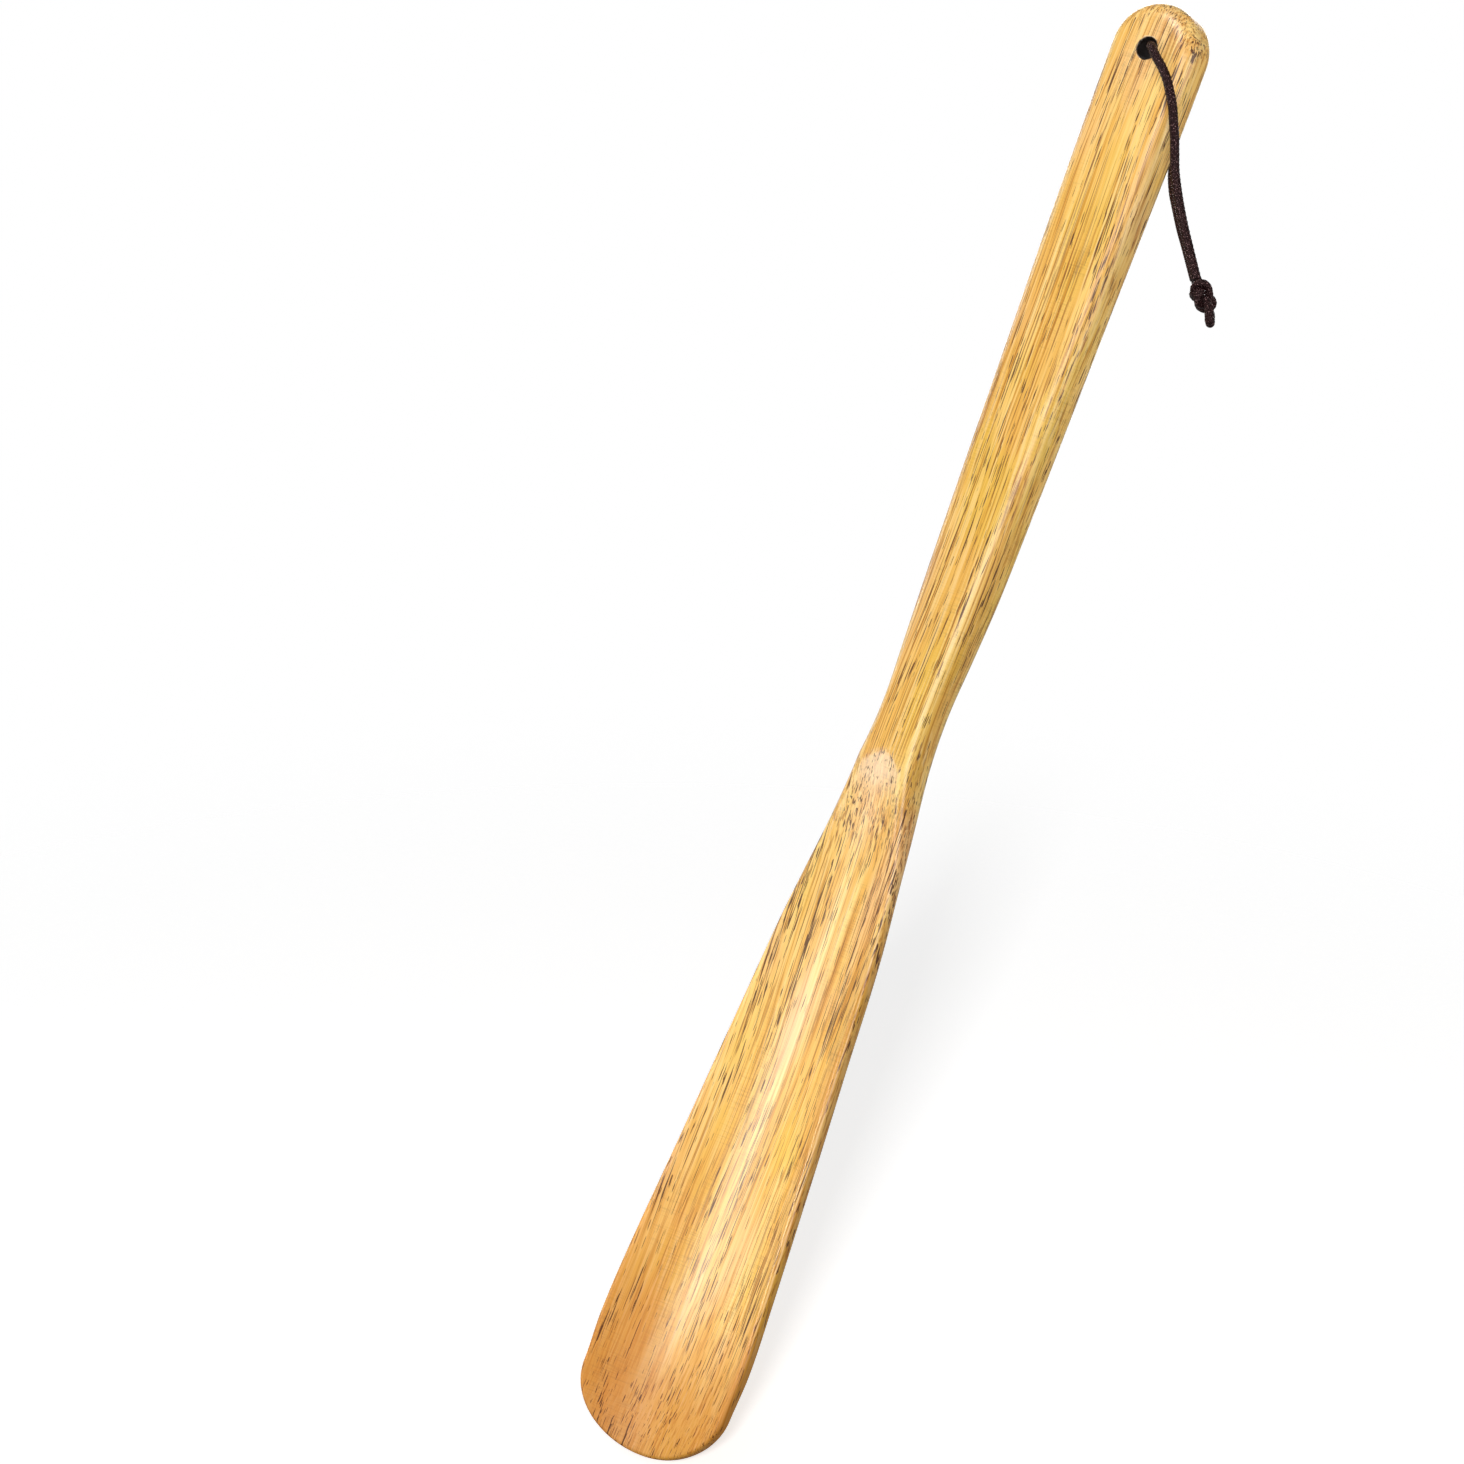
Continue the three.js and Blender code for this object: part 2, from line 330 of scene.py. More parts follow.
def hole_cutter():
    """The drill for the hanging hole, wider at its mouths, which are rounded and a little torn."""
    past = 0.001
    reach = HANDLE_THICKNESS / 2
    steps = 6
    rounding = [
        (
            HOLE_RADIUS + HOLE_CHAMFER * (1 - math.cos(math.pi / 2 * i / steps)),
            reach - HOLE_CHAMFER * (1 - math.sin(math.pi / 2 * i / steps)),
        )
        for i in range(steps + 1)
    ]
    half = [(0, reach + past), (rounding[-1][0] + HOLE_CHAMFER, reach + past)]
    half += [(out, along) for out, along in reversed(rounding)]
    outline = half + [(out, -along) for out, along in reversed(half)]
    work = bmesh.new()
    corners = [work.verts.new((out, along, 0)) for out, along in outline]
    edges = [work.edges.new(pair) for pair in zip(corners, corners[1:])]
    bmesh.ops.spin(
        work, geom=corners + edges, cent=(0, 0, 0), axis=(0, 1, 0), angle=2 * math.pi,
        steps=72, use_merge=True,
    )
    bmesh.ops.remove_doubles(work, verts=work.verts, dist=1e-6)
    tear = 0.00028
    coarse = 3.1
    fine = 7.3
    along_bore = 40
    for vertex in work.verts:
        out = Vector((vertex.co.x, 0, vertex.co.z))
        if out.length > HOLE_RADIUS + 0.00001:
            way = out.normalized()
            torn = noise.noise(way * coarse + Vector((0, vertex.co.y * along_bore, 0)))
            torn += 0.6 * noise.noise(way * fine)
            vertex.co += way * tear * torn
    bmesh.ops.recalc_face_normals(work, faces=work.faces)
    mesh = bpy.data.meshes.new("hole_cutter")
    work.to_mesh(mesh)
    work.free()
    cutter = bpy.data.objects.new("hole_cutter", mesh)
    bpy.context.scene.collection.objects.link(cutter)
    return cutter


def drill(piece):
    """Cuts the hanging hole and keeps the result as the piece's own mesh."""
    cutter = hole_cutter()
    cut = piece.modifiers.new("hole", "BOOLEAN")
    cut.operation = "DIFFERENCE"
    cut.solver = "EXACT"
    cut.object = cutter
    evaluated = piece.evaluated_get(bpy.context.evaluated_depsgraph_get())
    drilled = bpy.data.meshes.new_from_object(evaluated)
    piece.modifiers.remove(cut)
    piece.data = drilled
    drilled.name = piece.name
    bpy.data.objects.remove(cutter)


def add_horn(material):
    piece = finished("horn", horn_blank(), "horn", material)
    drill(piece)
    flat = piece.modifiers.new("flat_faces_stay_flat", "WEIGHTED_NORMAL")
    flat.keep_sharp = True
    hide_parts("wooden_horn")
    return piece


# ---- the cord ----
CARRIERS = 8  # bundles of thread that run each way round the braid
THREADS = 5  # threads side by side in a bundle
BRAID_PITCH = 0.00125  # length of one diamond of the braid
BRAID_RELIEF = 0.00022  # depth of the gaps between its bundles
BRAID_DIP = 0.45  # share of that depth by which a bundle sinks as it goes under another
CORD_SIDES = 48
CORD_STEP = 0.00013
KNOT_SIZE = 0.0020  # scale of the loose knot before it is drawn tight
KNOT_MOUTH = 0.0006  # straight length at each mouth of the knot
KNOT_SPLIT = 0.0011  # how far each cord's knot starts before or behind the middle
KNOT_LINKS = 76  # points along each cord in the knot
TIGHTENING_ROUNDS = 2600
PRESSED_OVER = 12  # steps over which the cord is pressed thinner as it goes into the knot


def spaced(line, count):
    """The same line as a number of evenly spaced points."""
    along = np.concatenate([[0], np.cumsum(np.linalg.norm(np.diff(line, axis=0), axis=1))])
    at = np.linspace(0, along[-1], count)
    return np.stack([np.interp(at, along, line[:, k]) for k in range(3)], axis=1)


def length_of(line):
    return float(np.linalg.norm(np.diff(line, axis=0), axis=1).sum())


def smooth_line(points, step):
    """Points a step apart on a smooth spline through the given ones."""
    given = [Vector(point) for point in points]
    padded = [2 * given[0] - given[1], *given, 2 * given[-1] - given[-2]]
    line = []
    for before, start, end, after in zip(padded, padded[1:], padded[2:], padded[3:]):
        count = max(1, math.ceil((end - start).length / step))
        for i in range(count):
            t = i / count
            line.append(
                0.5 * (
                    2 * start + (end - before) * t
                    + (2 * before - 5 * start + 4 * end - after) * t * t
                    + (3 * start - before - 3 * end + after) * t * t * t
                )
            )
    line.append(given[-1])
    return spaced(np.array(line), max(2, round(length_of(line) / step) + 1))


def loose_overhand(entry, exit_point, shift):
    """A loose overhand knot between two points, to be drawn tight.

    Its middle is an open trefoil: down, out and over are how far it has gone along the knot, away
    from it to the side and towards the camera.
    """
    way = (exit_point - entry).normalized()
    side = camera_axes()[2]
    side = (side - way * side.dot(way)).normalized()
    across = side.cross(way)
    middle = KNOT_CENTRE + side * shift
    steps = 60
    reach = 2.05
    line = [entry, entry + way * KNOT_MOUTH]
    for i in range(steps + 1):
        t = reach * (2 * i / steps - 1)
        down = t**3 - 3 * t
        out = t**4 - 4 * t**2 + 1.6
        over = 0.24 * (t**5 - 10 * t)
        line.append(middle + (way * down + across * out + side * over) * KNOT_SIZE)
    line += [exit_point - way * KNOT_MOUTH, exit_point]
    return line


def pushed_apart(points, gap, neighbours):
    """The points moved off each other where they are nearer than the gap, and the deepest overlap."""
    eased = 0.22  # share of an overlap that goes at once
    apart = points[:, None] - points[None, :]
    distance = np.linalg.norm(apart, axis=2) + 1e-9
    overlap = np.where((distance < gap) & ~neighbours, gap - distance, 0)
    push = (apart / distance[..., None] * (overlap * eased)[..., None]).sum(axis=1)
    return points + push, overlap.max()


def relink(cord, link):
    """Brings a cord's points a link apart again and eases its sharp bends, in place."""
    eased = 0.06  # share of a bend that goes at once
    for first in (0, 1):
        starts = cord[first:-1:2]
        ends = cord[first + 1 :: 2]
        span = ends - starts
        length = np.linalg.norm(span, axis=1, keepdims=True)
        fix = span * (0.5 * (length - link) / length)
        starts += fix
        ends -= fix
    cord[1:-1] += eased * ((cord[:-2] + cord[2:]) / 2 - cord[1:-1])


def tightened(lines, gap):
    """Two cords drawn tight together: their links shorten until the cords press on each other.

    Points closer along their own cord than a bend's reach don't push on each other.
    """
    bend_reach = gap * 1.45
    deepest_allowed = 0.2 * gap
    shortening = 0.9985
    relinks = 4
    cords = [spaced(np.array(line), KNOT_LINKS) for line in lines]
    held_ends = [cord[[0, 1, -2, -1]].copy() for cord in cords]
    link = np.linalg.norm(np.diff(cords[0], axis=0), axis=1).mean()
    points = np.concatenate(cords)
    index = np.arange(2 * KNOT_LINKS)
    same_cord = (index[:, None] // KNOT_LINKS) == (index[None, :] // KNOT_LINKS)
    links_between = np.abs(index[:, None] - index[None, :])
    for _ in range(TIGHTENING_ROUNDS):
        neighbours = same_cord & (links_between * link < bend_reach)
        points, deepest = pushed_apart(points, gap, neighbours)
        cords = np.split(points, 2)
        for cord, held in zip(cords, held_ends):
            for _ in range(relinks):
                relink(cord, link)
            cord[:2] = held[:2]
            cord[-2:] = held[2:]
        if deepest < deepest_allowed:
            link *= shortening
    return cords


def directions_across(line):
    """For each point of a line, two directions across it that don't twist along it."""
    tangents = np.gradient(line, axis=0)
    tangents /= np.linalg.norm(tangents, axis=1, keepdims=True)
    any_way = [0.3, 0.2, 0.9]
    first = np.cross(tangents[0], any_way)
    across = [first / np.linalg.norm(first)]
    for tangent in tangents[1:]:
        carried = across[-1] - tangent * across[-1].dot(tangent)
        across.append(carried / np.linalg.norm(carried))
    return np.array(across), np.cross(tangents, across)


def braid_height(turn, along):
    """Height of the braid's surface, 0 to 1, at a turn round the cord and a length along it."""
    right_hand = CARRIERS * turn + along / BRAID_PITCH
    left_hand = CARRIERS * turn - along / BRAID_PITCH
    over = (math.floor(right_hand) + math.floor(left_hand)) % 2 == 0
    top, under = (right_hand, left_hand) if over else (left_hand, right_hand)
    bundle = 1 - (2 * (top % 1) - 1) ** 2
    dip = 1 - (2 * (under % 1) - 1) ** 2
    return math.sqrt(max(bundle, 0)) * (1 - BRAID_DIP + BRAID_DIP * math.sqrt(max(dip, 0)))


def braided_ring(centre, across, up, radius, along):
    """Points once round the cord, a length along it. The last one is the first one again."""
    ring = []
    for k in range(CORD_SIDES + 1):
        turn = k / CORD_SIDES
        angle = 2 * math.pi * turn
        outward = across * math.cos(angle) + up * math.sin(angle)
        out = radius - BRAID_RELIEF * (1 - braid_height(turn % 1, along))
        ring.append(Vector(centre + out * outward))
    return ring


def rounded_off(radius, to_end):
    """A cord's radius at a distance from its cut end, which is rounded and left a little open."""
    if to_end >= radius:
        return radius
    opening = 0.02
    return radius * math.sqrt(max(opening, 1 - (1 - to_end / radius) ** 2))


def cord_mesh(line, start, diameters, round_end=False):
    """A braided cord along a line, whose braid begins a length along the whole cord."""
    across, up = directions_across(line)
    step = np.linalg.norm(np.diff(line, axis=0), axis=1).mean()
    rows = []
    for i, centre in enumerate(line):
        radius = diameters[i] / 2
        if round_end:
            radius = rounded_off(radius, (len(line) - 1 - i) * step)
        rows.append(braided_ring(centre, across[i], up[i], radius, start + i * step))
    work = laid_out_grid(rows)
    uv = work.loops.layers.uv.verify()
    for face in work.faces:
        for loop in face.loops:
            place = loop[uv].uv
            loop[uv].uv = (place.y, (start + place.x * step * (len(line) - 1)) / BRAID_PITCH)
    bmesh.ops.remove_doubles(work, verts=work.verts, dist=1e-6)
    rims = [edge for edge in work.edges if edge.is_boundary]
    bmesh.ops.holes_fill(work, edges=rims, sides=CORD_SIDES + 1)
    bmesh.ops.recalc_face_normals(work, faces=work.faces)
    return work


def whole_runs():
    """For each half of the cord, the strand, the run through the knot and the tail, as lines."""
    strands = [smooth_line(points, CORD_STEP) for points in (FRONT_STRAND, BACK_STRAND)]
    tails = [smooth_line(points, CORD_STEP) for points in (FRONT_TAIL, BACK_TAIL)]
    loose = [
        loose_overhand(Vector(strand[-1]), Vector(tail[0]), shift)
        for strand, tail, shift in zip(strands, tails, (KNOT_SPLIT, -KNOT_SPLIT))
    ]
    knots = [smooth_line(line, CORD_STEP) for line in tightened(loose, KNOT_CORD_DIAMETER)]
    return strands, knots, tails


def join_into(work, other):
    """Adds the faces of another bmesh to this one."""
    mesh = bpy.data.meshes.new("part")
    other.to_mesh(mesh)
    other.free()
    work.from_mesh(mesh)
    bpy.data.meshes.remove(mesh)


def knot_diameters(count):
    """The cord's diameter at each point through the knot: full at the mouths, pressed inside."""
    pressed_off = CORD_DIAMETER - KNOT_CORD_DIAMETER
    from_mouth = [min(i, count - 1 - i) for i in range(count)]
    return [KNOT_CORD_DIAMETER + pressed_off * max(0, 1 - i / PRESSED_OVER) for i in from_mouth]


def add_length(name, work, material):
    """A length of the cord that takes the place of its CAD node."""
    piece = finished(name, work, "cord_loop", material)
    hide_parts(f"cord_{name}")
    return piece


def add_cord(material):
    strands, knots, tails = whole_runs()
    names = ("front", "back")
    knot = bmesh.new()
    pieces = {}
    for name, strand, run, tail in zip(names, strands, knots, tails):
        full_strand = [CORD_DIAMETER] * len(strand)
        full_tail = [CORD_DIAMETER] * len(tail)
        before_knot = length_of(strand)
        before_tail = before_knot + length_of(run)
        strand_skin = cord_mesh(strand, 0, full_strand)
        tail_skin = cord_mesh(tail, before_tail, full_tail, round_end=True)
        pieces[f"{name}_strand"] = add_length(f"{name}_strand", strand_skin, material)
        join_into(knot, cord_mesh(run, before_knot, knot_diameters(len(run))))
        pieces[f"{name}_tail"] = add_length(f"{name}_tail", tail_skin, material)
    pieces["knot"] = add_length("knot", knot, material)
    return list(pieces.values())


# ---- materials ----
def shader(name, **constants):
    """A material with these constants in its Principled shader: it, its tree and the shader."""
    material = bpy.data.materials.new(name)
    material.use_nodes = True
    tree = material.node_tree
    principled = tree.nodes["Principled BSDF"]
    for socket, value in constants.items():
        principled.inputs[socket.replace("_", " ")].default_value = value
    return material, tree, principled


class Nodes:
    """Short ways to add and join shader nodes in one tree."""

    def __init__(self, tree):
        self.tree = tree

    def add(self, kind, **settings):
        node = self.tree.nodes.new(kind)
        for key, value in settings.items():
            setattr(node, key, value)
        return node

    def feed(self, socket, value):
        if isinstance(value, bpy.types.NodeSocket):
            self.tree.links.new(value, socket)
        else:
            socket.default_value = value

    def maths(self, operation, *values, clamp=False):
        node = self.add("ShaderNodeMath", operation=operation, use_clamp=clamp)
        for socket, value in zip(node.inputs, values):
            self.feed(socket, value)
        return node.outputs[0]

    def both(self, one, other):
        """Where two masks meet."""
        return self.maths("MULTIPLY", one, other)

    def vectors(self, operation, *values):
        node = self.add("ShaderNodeVectorMath", operation=operation)
        for socket, value in zip(node.inputs, values):
            self.feed(socket, value)
        return node.outputs["Value" if operation == "LENGTH" else "Vector"]

    def split(self, place):
        """The X, Y and Z of a vector."""
        node = self.add("ShaderNodeSeparateXYZ")
        self.feed(node.inputs[0], place)
        return node.outputs

    def stretched(self, place, x, y, z):
        """A place scaled along each axis."""
        node = self.add("ShaderNodeMapping", vector_type="POINT")
        self.feed(node.inputs["Vector"], place)
        node.inputs["Scale"].default_value = (x, y, z)
        return node.outputs[0]

    def cloud(self, place, detail, roughness=0.5):
        """The outputs of a soft noise that changes about once in each unit of the place."""
        node = self.add("ShaderNodeTexNoise", noise_dimensions="3D")
        self.feed(node.inputs["Vector"], place)
        node.inputs["Scale"].default_value = 1
        node.inputs["Detail"].default_value = detail
        node.inputs["Roughness"].default_value = roughness
        return node.outputs

    def speckle(self, place, detail=2.0, roughness=0.5):
        return self.cloud(place, detail, roughness)["Fac"]

    def between(self, value, low, high):
        """A smooth step from 0 at low to 1 at high. Low may be the larger."""
        node = self.add("ShaderNodeMapRange", interpolation_type="SMOOTHSTEP")
        self.feed(node.inputs["Value"], value)
        node.inputs["From Min"].default_value = low
        node.inputs["From Max"].default_value = high
        return node.outputs[0]

    def blend(self, mask, share, one, other):
        """One colour with the other laid over it by a share of a mask."""
        node = self.add("ShaderNodeMix", data_type="RGBA")
        self.feed(node.inputs["Factor"], self.maths("MULTIPLY", mask, share))
        sockets = [socket for socket in node.inputs if socket.type == "RGBA"]
        self.feed(sockets[0], one)
        self.feed(sockets[1], other)
        return next(socket for socket in node.outputs if socket.type == "RGBA")

    def bump(self, height, strength, depth):
        node = self.add("ShaderNodeBump")
        node.inputs["Strength"].default_value = strength
        node.inputs["Distance"].default_value = depth
        self.feed(node.inputs["Height"], height)
        return node.outputs["Normal"]


def group(name, inputs, outputs):
    """An empty node group with named sockets, its input node's outputs and its output node."""
    tree = bpy.data.node_groups.new(name, "ShaderNodeTree")
    for socket, kind, value in inputs:
        made = tree.interface.new_socket(socket, in_out="INPUT", socket_type=kind)
        if value is not None:
            made.default_value = value
    for socket, kind in outputs:
        tree.interface.new_socket(socket, in_out="OUTPUT", socket_type=kind)
    nodes = Nodes(tree)
    return nodes, nodes.add("NodeGroupInput").outputs, nodes.add("NodeGroupOutput").inputs


GRAIN_SWAY = 0.006  # width of the band in which the grain wanders


def grain_group():
    """Straight grain along Z: soft bands, fine lines, open pores and cross flecks.

    Each pattern is a cloud drawn out along Z: the scales are how often it changes in a metre.
    """
    nodes, given, out = group(
        "straight_grain",
        [("Place", "NodeSocketVector", None), ("Pores", "NodeSocketFloat", 1.0)],
        [
            ("Bands", "NodeSocketFloat"), ("Lines", "NodeSocketFloat"),
            ("Hairlines", "NodeSocketFloat"), ("Pores", "NodeSocketFloat"),
            ("Flecks", "NodeSocketFloat"), ("Patches", "NodeSocketFloat"),
            ("Height", "NodeSocketFloat"),
        ],
    )
    place = given["Place"]
    cloud = nodes.cloud(nodes.stretched(place, 18, 18, 9), detail=1)
    centred = nodes.vectors("SUBTRACT", cloud["Color"], (0.5, 0.5, 0.5))
    sway = nodes.vectors("MULTIPLY", centred, (GRAIN_SWAY, GRAIN_SWAY, 0))
    grain = nodes.vectors("ADD", place, sway)
    bands = nodes.speckle(nodes.stretched(grain, 340, 170, 4), detail=2)
    lines = nodes.speckle(nodes.stretched(grain, 1700, 1100, 14), detail=3, roughness=0.65)
    hairs = nodes.speckle(nodes.stretched(grain, 2700, 1700, 24), detail=2, roughness=0.6)
    hairlines = nodes.between(hairs, 0.57, 0.63)
    crowd = nodes.speckle(nodes.stretched(grain, 260, 180, 14), detail=1)
    limit = nodes.maths("MULTIPLY_ADD", crowd, -0.30, 0.81)
    dashes = nodes.speckle(nodes.stretched(grain, 2900, 1900, 130), detail=1)
    pores = nodes.between(nodes.maths("SUBTRACT", dashes, limit), 0.0, 0.02)
    long_dashes = nodes.speckle(nodes.stretched(grain, 2500, 1500, 45), detail=1)
    long_pores = nodes.between(nodes.maths("SUBTRACT", long_dashes, limit), 0.0, 0.025)
    open_pores = nodes.maths("MAXIMUM", pores, long_pores)
    seen_pores = nodes.maths("MULTIPLY", open_pores, given["Pores"], clamp=True)
    hatch = nodes.speckle(nodes.stretched(grain, 160, 160, 2600), detail=2, roughness=0.65)
    where = nodes.between(nodes.speckle(nodes.stretched(place, 95, 95, 30), detail=1), 0.42, 0.62)
    flecks = nodes.both(nodes.between(hatch, 0.45, 0.7), where)
    patches = nodes.speckle(nodes.stretched(place, 60, 60, 22))
    height = nodes.maths("MULTIPLY_ADD", lines, 0.3, nodes.maths("MULTIPLY", seen_pores, -0.7))
    height = nodes.maths("MULTIPLY_ADD", flecks, 0.2, height)
    for name, value in (
        ("Bands", bands), ("Lines", lines), ("Hairlines", hairlines), ("Pores", seen_pores),
        ("Flecks", flecks), ("Patches", patches), ("Height", height),
    ):
        nodes.feed(out[name], value)
    return nodes.tree


def colour(red, green, blue):
    """A display colour, 0 to 255, as the shader's linear values."""
    def linear(value):
        value /= 255
        return value / 12.92 if value <= 0.04045 else ((value + 0.055) / 1.055) ** 2.4

    return (linear(red), linear(green), linear(blue), 1)


AMBER = colour(180, 110, 10)
BLADE_TAPER = 0.078  # how fast the blade's right-hand edge comes in towards the neck


def grain_tone(nodes, grain):
    """The wood's own colour: honey and straw bands, rosy and lemon patches, dark and pale lines."""
    honey = colour(230, 174, 76)
    straw = colour(243, 203, 116)
    rose = colour(233, 182, 126)
    lemon = colour(226, 182, 58)
    umber = colour(140, 76, 12)
    cream = colour(250, 222, 158)
    bands = nodes.between(grain["Bands"], 0.35, 0.65)
    rosy = nodes.between(grain["Patches"], 0.5, 0.7)
    yellow = nodes.between(grain["Patches"], 0.48, 0.34)
    dark_lines = nodes.between(grain["Lines"], 0.48, 0.38)
    pale_lines = nodes.between(grain["Lines"], 0.54, 0.64)
    tone = nodes.blend(bands, 1, honey, straw)
    tone = nodes.blend(rosy, 0.6, tone, rose)
    tone = nodes.blend(yellow, 0.55, tone, lemon)
    tone = nodes.blend(dark_lines, 0.65, tone, AMBER)
    tone = nodes.blend(grain["Hairlines"], 0.65, tone, umber)
    return nodes.blend(pale_lines, 0.4, tone, cream)


def horn_masks(nodes, place, facing):
    """Where on the horn shade is painted as deeper amber, a highlight is painted pale, and shade is
    painted black in the hole.
    """
    x, _, z = nodes.split(place)
    from_tip = nodes.maths("SUBTRACT", z, TIP_Z)
    near_tip = nodes.between(from_tip, 0.0525, 0.0075)
    towards_tip = nodes.between(from_tip, 0.1175, 0.0225)
    towards_left = nodes.between(x, 0.004, -0.012)
    on_blade = nodes.between(from_tip, 0.1525, 0.1275)
    without_taper = nodes.maths("MULTIPLY_ADD", from_tip, BLADE_TAPER, x)
    near_edge = nodes.between(without_taper, 0.020165, 0.024165)
    faces_down = nodes.between(nodes.split(facing)["Z"], -0.19, -0.27)
    above_blade = nodes.between(from_tip, 0.1705, 0.1785)
    from_bore = nodes.vectors("LENGTH", nodes.vectors("MULTIPLY", place, (1, 0, 1)))
    return {
        # painted shade: the tip's left, which faces away from the light, in deeper amber
        "left_of_tip": nodes.both(towards_tip, towards_left),
        # painted shade: the blade's right-hand edge, which gets little light, in deeper amber
        "right_edge": nodes.both(near_edge, on_blade),
        # painted shade: the tip in deeper amber; the lacquer there is also duller
        "tip": near_tip,
        # painted highlight: the downward-facing top end of the scoop, paled as if lit from below
        "painted_arch_highlight": nodes.both(faces_down, above_blade),
        # painted shade: the hole's wall and mouth nearly black
        "painted_hole_shade": nodes.between(from_bore, HOLE_RADIUS + 0.0004, HOLE_RADIUS + 0.0001),
    }


def lacquered_wood():
    """Golden open-pored wood under a thin satin lacquer, which is duller towards the tip."""
    material, tree, principled = shader(
        "lacquered_wood", Coat_Roughness=0.26, Coat_IOR=1.5, Specular_IOR_Level=0.4,
    )
    nodes = Nodes(tree)
    coordinates = nodes.add("ShaderNodeTexCoord").outputs
    grain_node = nodes.add("ShaderNodeGroup", node_tree=grain_group())
    nodes.feed(grain_node.inputs["Place"], coordinates["Object"])
    grain = grain_node.outputs
    where = horn_masks(nodes, coordinates["Object"], coordinates["Normal"])
    pore_brown = colour(74, 30, 2)
    arch_highlight_cream = colour(255, 224, 182)
    hole_shade_black = colour(16, 8, 4)
    tone = grain_tone(nodes, grain)
    # Painted shade: deeper amber on the tip's left, on the blade's right-hand edge and at the tip.
    tone = nodes.blend(where["left_of_tip"], 0.6, tone, AMBER)
    tone = nodes.blend(where["right_edge"], 0.45, tone, AMBER)
    tone = nodes.blend(where["tip"], 0.7, tone, AMBER)
    # Painted highlight: the top end of the scoop paled.
    tone = nodes.blend(where["painted_arch_highlight"], 0.55, tone, arch_highlight_cream)
    tone = nodes.blend(grain["Flecks"], 0.16, tone, pore_brown)
    tone = nodes.blend(grain["Pores"], 0.92, tone, pore_brown)
    # Painted shade: the inside of the hole nearly black.
    tone = nodes.blend(where["painted_hole_shade"], 1, tone, hole_shade_black)
    matte = nodes.maths("MAXIMUM", where["tip"], where["left_of_tip"])
    rough = nodes.maths("MULTIPLY_ADD", matte, 0.2, 0.34)
    rough = nodes.maths("MULTIPLY_ADD", grain["Pores"], 0.25, rough)
    rough = nodes.maths("MULTIPLY_ADD", grain["Lines"], 0.1, rough)
    nodes.feed(principled.inputs["Base Color"], tone)
    nodes.feed(principled.inputs["Coat Weight"], nodes.maths("MULTIPLY_ADD", matte, -0.5, 0.6))
    nodes.feed(principled.inputs["Roughness"], rough)
    nodes.feed(principled.inputs["Normal"], nodes.bump(grain["Height"], 0.5, 0.00012))
    return material


def braid_group():
    """The braid's threads from a UV map of turns round the cord and diamonds along it."""
    nodes, given, out = group(
        "round_braid",
        [("UV", "NodeSocketVector", None), ("Carriers", "NodeSocketFloat", float(CARRIERS))],
        [("Gaps", "NodeSocketFloat"), ("Threads", "NodeSocketFloat")],
    )
    turn, along, _ = nodes.split(given["UV"])
    round_it = nodes.maths("MULTIPLY", turn, given["Carriers"])
    right_hand = nodes.maths("ADD", round_it, along)
    left_hand = nodes.maths("SUBTRACT", round_it, along)
    whole = nodes.maths("ADD", nodes.maths("FLOOR", right_hand), nodes.maths("FLOOR", left_hand))
    under = nodes.maths("FLOORED_MODULO", whole, 2.0)
    change = nodes.maths("SUBTRACT", left_hand, right_hand)
    top = nodes.maths("MULTIPLY_ADD", under, change, right_hand)
    in_bundle = nodes.maths("FRACT", top)
    from_middle = nodes.maths("ABSOLUTE", nodes.maths("SUBTRACT", in_bundle, 0.5))
    gaps = nodes.between(from_middle, 0.30, 0.5)
    wave = nodes.maths("SINE", nodes.maths("MULTIPLY", in_bundle, 2 * math.pi * THREADS))
    threads = nodes.maths("MULTIPLY_ADD", wave, 0.5, 0.5)
    nodes.feed(out["Gaps"], gaps)
    nodes.feed(out["Threads"], threads)
    return nodes.tree


def braided_cord():
    """Dark satin thread, plum on the bundles, with painted shade nearly black in its gaps and painted
    glint specks.
    """
    material, tree, principled = shader(
        "braided_cord", Specular_IOR_Level=0.22, Specular_Tint=colour(255, 205, 205),
    )
    nodes = Nodes(tree)
    place = nodes.add("ShaderNodeUVMap", uv_map="UVMap").outputs["UV"]
    braid_node = nodes.add("ShaderNodeGroup", node_tree=braid_group())
    nodes.feed(braid_node.inputs["UV"], place)
    braid = braid_node.outputs
    painted_shade_black = colour(6, 2, 2)
    black_plum = colour(13, 4, 5)
    plum = colour(33, 10, 11)
    glint = colour(178, 140, 138)
    spots = nodes.between(nodes.speckle(nodes.stretched(place, 9, 1.3, 1)), 0.3, 0.7)
    specks = nodes.speckle(nodes.stretched(place, 22, 3.4, 1), detail=1)
    proud = nodes.maths("SUBTRACT", 1.0, braid["Gaps"])
    painted_glints = nodes.both(nodes.between(specks, 0.62, 0.69), proud)
    tone = nodes.blend(spots, 1, black_plum, plum)
    # Painted shade: darker between the threads and, next, nearly black in the gaps between bundles.
    tone = nodes.blend(braid["Threads"], 0.35, tone, painted_shade_black)
    tone = nodes.blend(braid["Gaps"], 1, tone, painted_shade_black)
    # Painted highlight: pale glint specks on the proud bundles.
    tone = nodes.blend(painted_glints, 0.6, tone, glint)
    rough = nodes.maths("MULTIPLY_ADD", braid["Gaps"], 0.5, 0.2)
    nodes.feed(principled.inputs["Base Color"], tone)
    nodes.feed(principled.inputs["Roughness"], rough)
    nodes.feed(principled.inputs["Normal"], nodes.bump(braid["Threads"], 0.6, 0.00004))
    return material


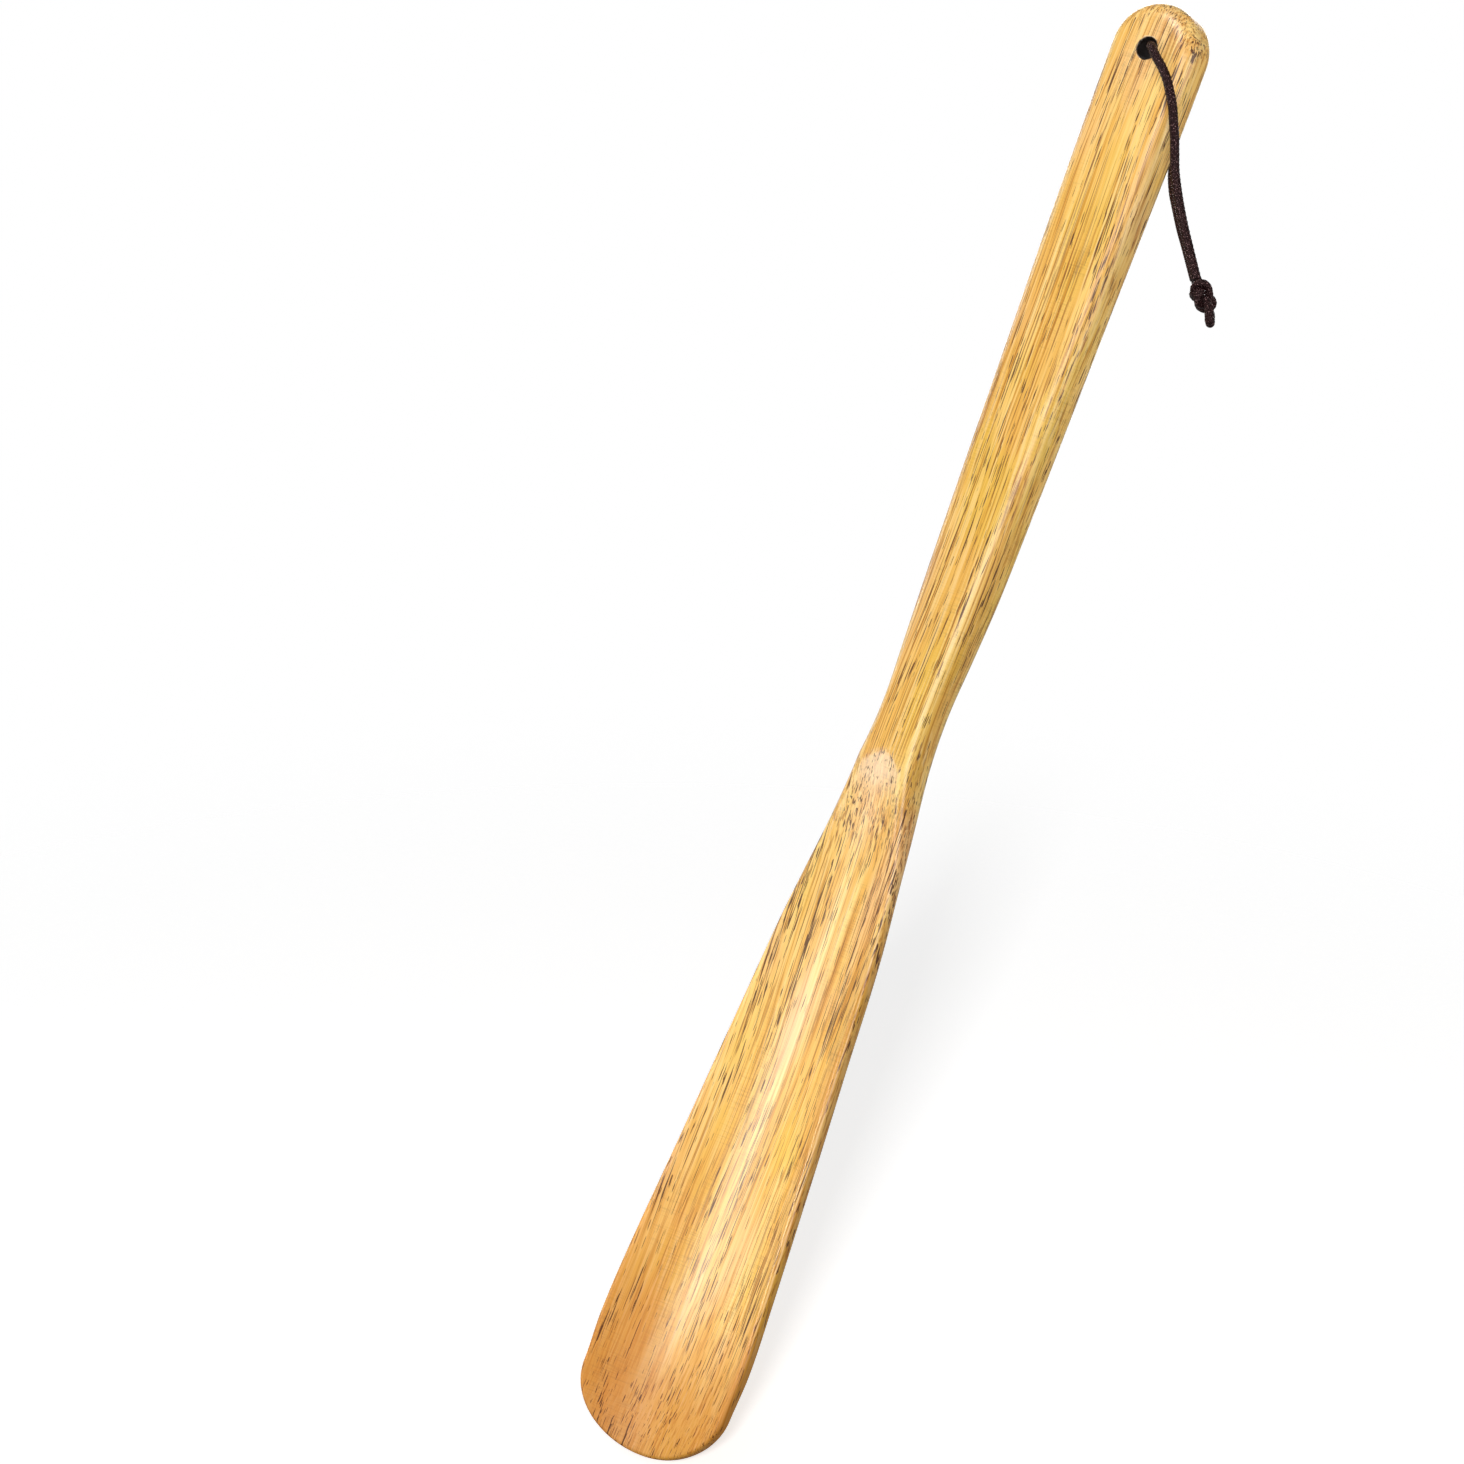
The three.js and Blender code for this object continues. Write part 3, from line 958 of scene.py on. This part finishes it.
# ---- stage and light ----
ROOM_LIGHT = 0.29  # strength of the white light from all round
ROOM_LEFT_BIAS = 0.14  # how much stronger it is from the left, and weaker from the right
FLOOR_TILT = math.radians(25)  # how steeply the camera looks down on the floor
FLOOR_REACH = 0.45
FLOOR_GLOW = 0.62
UNDER_TIP = Vector((0, FRONT + 0.006, TIP_Z - 0.0006))  # where the blade stands on the floor


def turned_towards(normal):
    """A turn that points Z along a direction."""
    return normal.to_track_quat("Z", "Y").to_matrix().to_4x4()


def pale_floor():
    """White paper that only the camera sees, from above, and that fades out at its rim."""
    material, tree, principled = shader(
        "pale_floor", Base_Color=(0.8, 0.8, 0.8, 1), Roughness=1.0, Specular_IOR_Level=0.0,
        Emission_Color=(1, 1, 1, 1), Emission_Strength=FLOOR_GLOW,
    )
    nodes = Nodes(tree)
    place = nodes.add("ShaderNodeTexCoord").outputs["Object"]
    fades_from = FLOOR_REACH * 0.6
    inside = nodes.between(nodes.vectors("LENGTH", place), FLOOR_REACH, fades_from)
    seen = nodes.add("ShaderNodeLightPath").outputs["Is Camera Ray"]
    from_below = nodes.add("ShaderNodeNewGeometry").outputs["Backfacing"]
    above = nodes.maths("SUBTRACT", 1.0, from_below)
    paper = nodes.both(nodes.both(inside, seen), above)
    nodes.feed(principled.inputs["Alpha"], paper)
    return material


def add_floor():
    """A floor that the blade's tip stands on."""
    up, back = camera_axes()[1:]
    normal = up * math.cos(FLOOR_TILT) + back * math.sin(FLOOR_TILT)
    work = bmesh.new()
    bmesh.ops.create_grid(work, x_segments=1, y_segments=1, size=FLOOR_REACH)
    mesh = bpy.data.meshes.new("floor")
    work.to_mesh(mesh)
    work.free()
    mesh.materials.append(pale_floor())
    floor = bpy.data.objects.new("floor", mesh)
    bpy.context.scene.collection.objects.link(floor)
    floor.matrix_world = Matrix.Translation(UNDER_TIP) @ turned_towards(normal)
    return floor


def add_world():
    """White to the camera, and on the object a dimmer light that is stronger from the left."""
    world = bpy.data.worlds.new("studio")
    bpy.context.scene.world = world
    world.use_nodes = True
    nodes = Nodes(world.node_tree)
    background = world.node_tree.nodes["Background"]
    seen = nodes.add("ShaderNodeLightPath").outputs["Is Camera Ray"]
    background.inputs["Color"].default_value = (1, 1, 1, 1)
    to_the_right = nodes.split(nodes.add("ShaderNodeTexCoord").outputs["Generated"])["X"]
    room = nodes.maths("MULTIPLY_ADD", to_the_right, -ROOM_LEFT_BIAS, ROOM_LIGHT)
    white = nodes.maths("MULTIPLY", seen, nodes.maths("SUBTRACT", 1.0, room))
    nodes.feed(background.inputs["Strength"], nodes.maths("ADD", room, white))


def add_panel(name, lit, azimuth, elevation, distance, height, size, watts, shadow=False, spread=180):
    """A soft light panel that faces a height on the Z axis from an azimuth and elevation, in degrees.

    It lights only the pieces in lit. The spread, in degrees too, is how widely it throws its light.
    """
    turn = math.radians(azimuth)
    rise = math.radians(elevation)
    away = Vector((
        math.sin(turn) * math.cos(rise), -math.cos(turn) * math.cos(rise), math.sin(rise),
    ))
    data = bpy.data.lights.new(name, "AREA")
    data.shape = "RECTANGLE"
    data.size, data.size_y = size
    data.energy = watts
    data.use_shadow = shadow
    data.spread = math.radians(spread)
    panel = bpy.data.objects.new(name, data)
    bpy.context.scene.collection.objects.link(panel)
    place = Vector((0, 0, height)) + away * distance
    panel.matrix_world = Matrix.Translation(place) @ turned_towards(away)
    panel.light_linking.receiver_collection = lit


def lit_together(name, pieces):
    lit = bpy.data.collections.new(name)
    for piece in pieces:
        lit.objects.link(piece)
    return lit


def add_lights(pieces, floor):
    """Soft panels round the object, and a lamp by the camera that throws its shadow on the floor."""
    lit = lit_together("lit_object", pieces)
    lit_floor = lit_together("lit_floor", [floor])
    # name, what it lights, azimuth, elevation, distance, height, size, watts
    add_panel("front_softbox", lit, 42, 3, 1.6, -0.16, (0.9, 0.8), 12, shadow=True)
    add_panel("left_softbox", lit, -28, 0, 0.32, -0.312, (0.085, 0.1), 0.031, spread=50)
    add_panel("left_rim", lit, -95, 0, 0.6, -0.2, (0.05, 0.5), 0.5)
    add_panel("top_softbox", lit, -10, 35, 0.7, -0.05, (0.4, 0.3), 2.9)
    add_panel("right_fill", lit, 100, 15, 0.3, -0.08, (0.2, 0.2), 0.35)
    add_panel("back_fill", lit, 215, 20, 1.4, -0.17, (0.8, 0.8), 9)
    add_panel("floor_bounce", lit, -30, -30, 0.7, -0.19, (0.8, 0.3), 1.7)
    add_panel("floor_lamp", lit_floor, 28, 2, 1.6, -0.3, (0.16, 0.16), 13, shadow=True)


def main():
    add_camera()
    pieces = add_cord(braided_cord())
    pieces.append(add_horn(lacquered_wood()))
    add_world()
    add_lights(pieces, add_floor())
    bpy.context.scene.view_settings.view_transform = "Standard"


main()
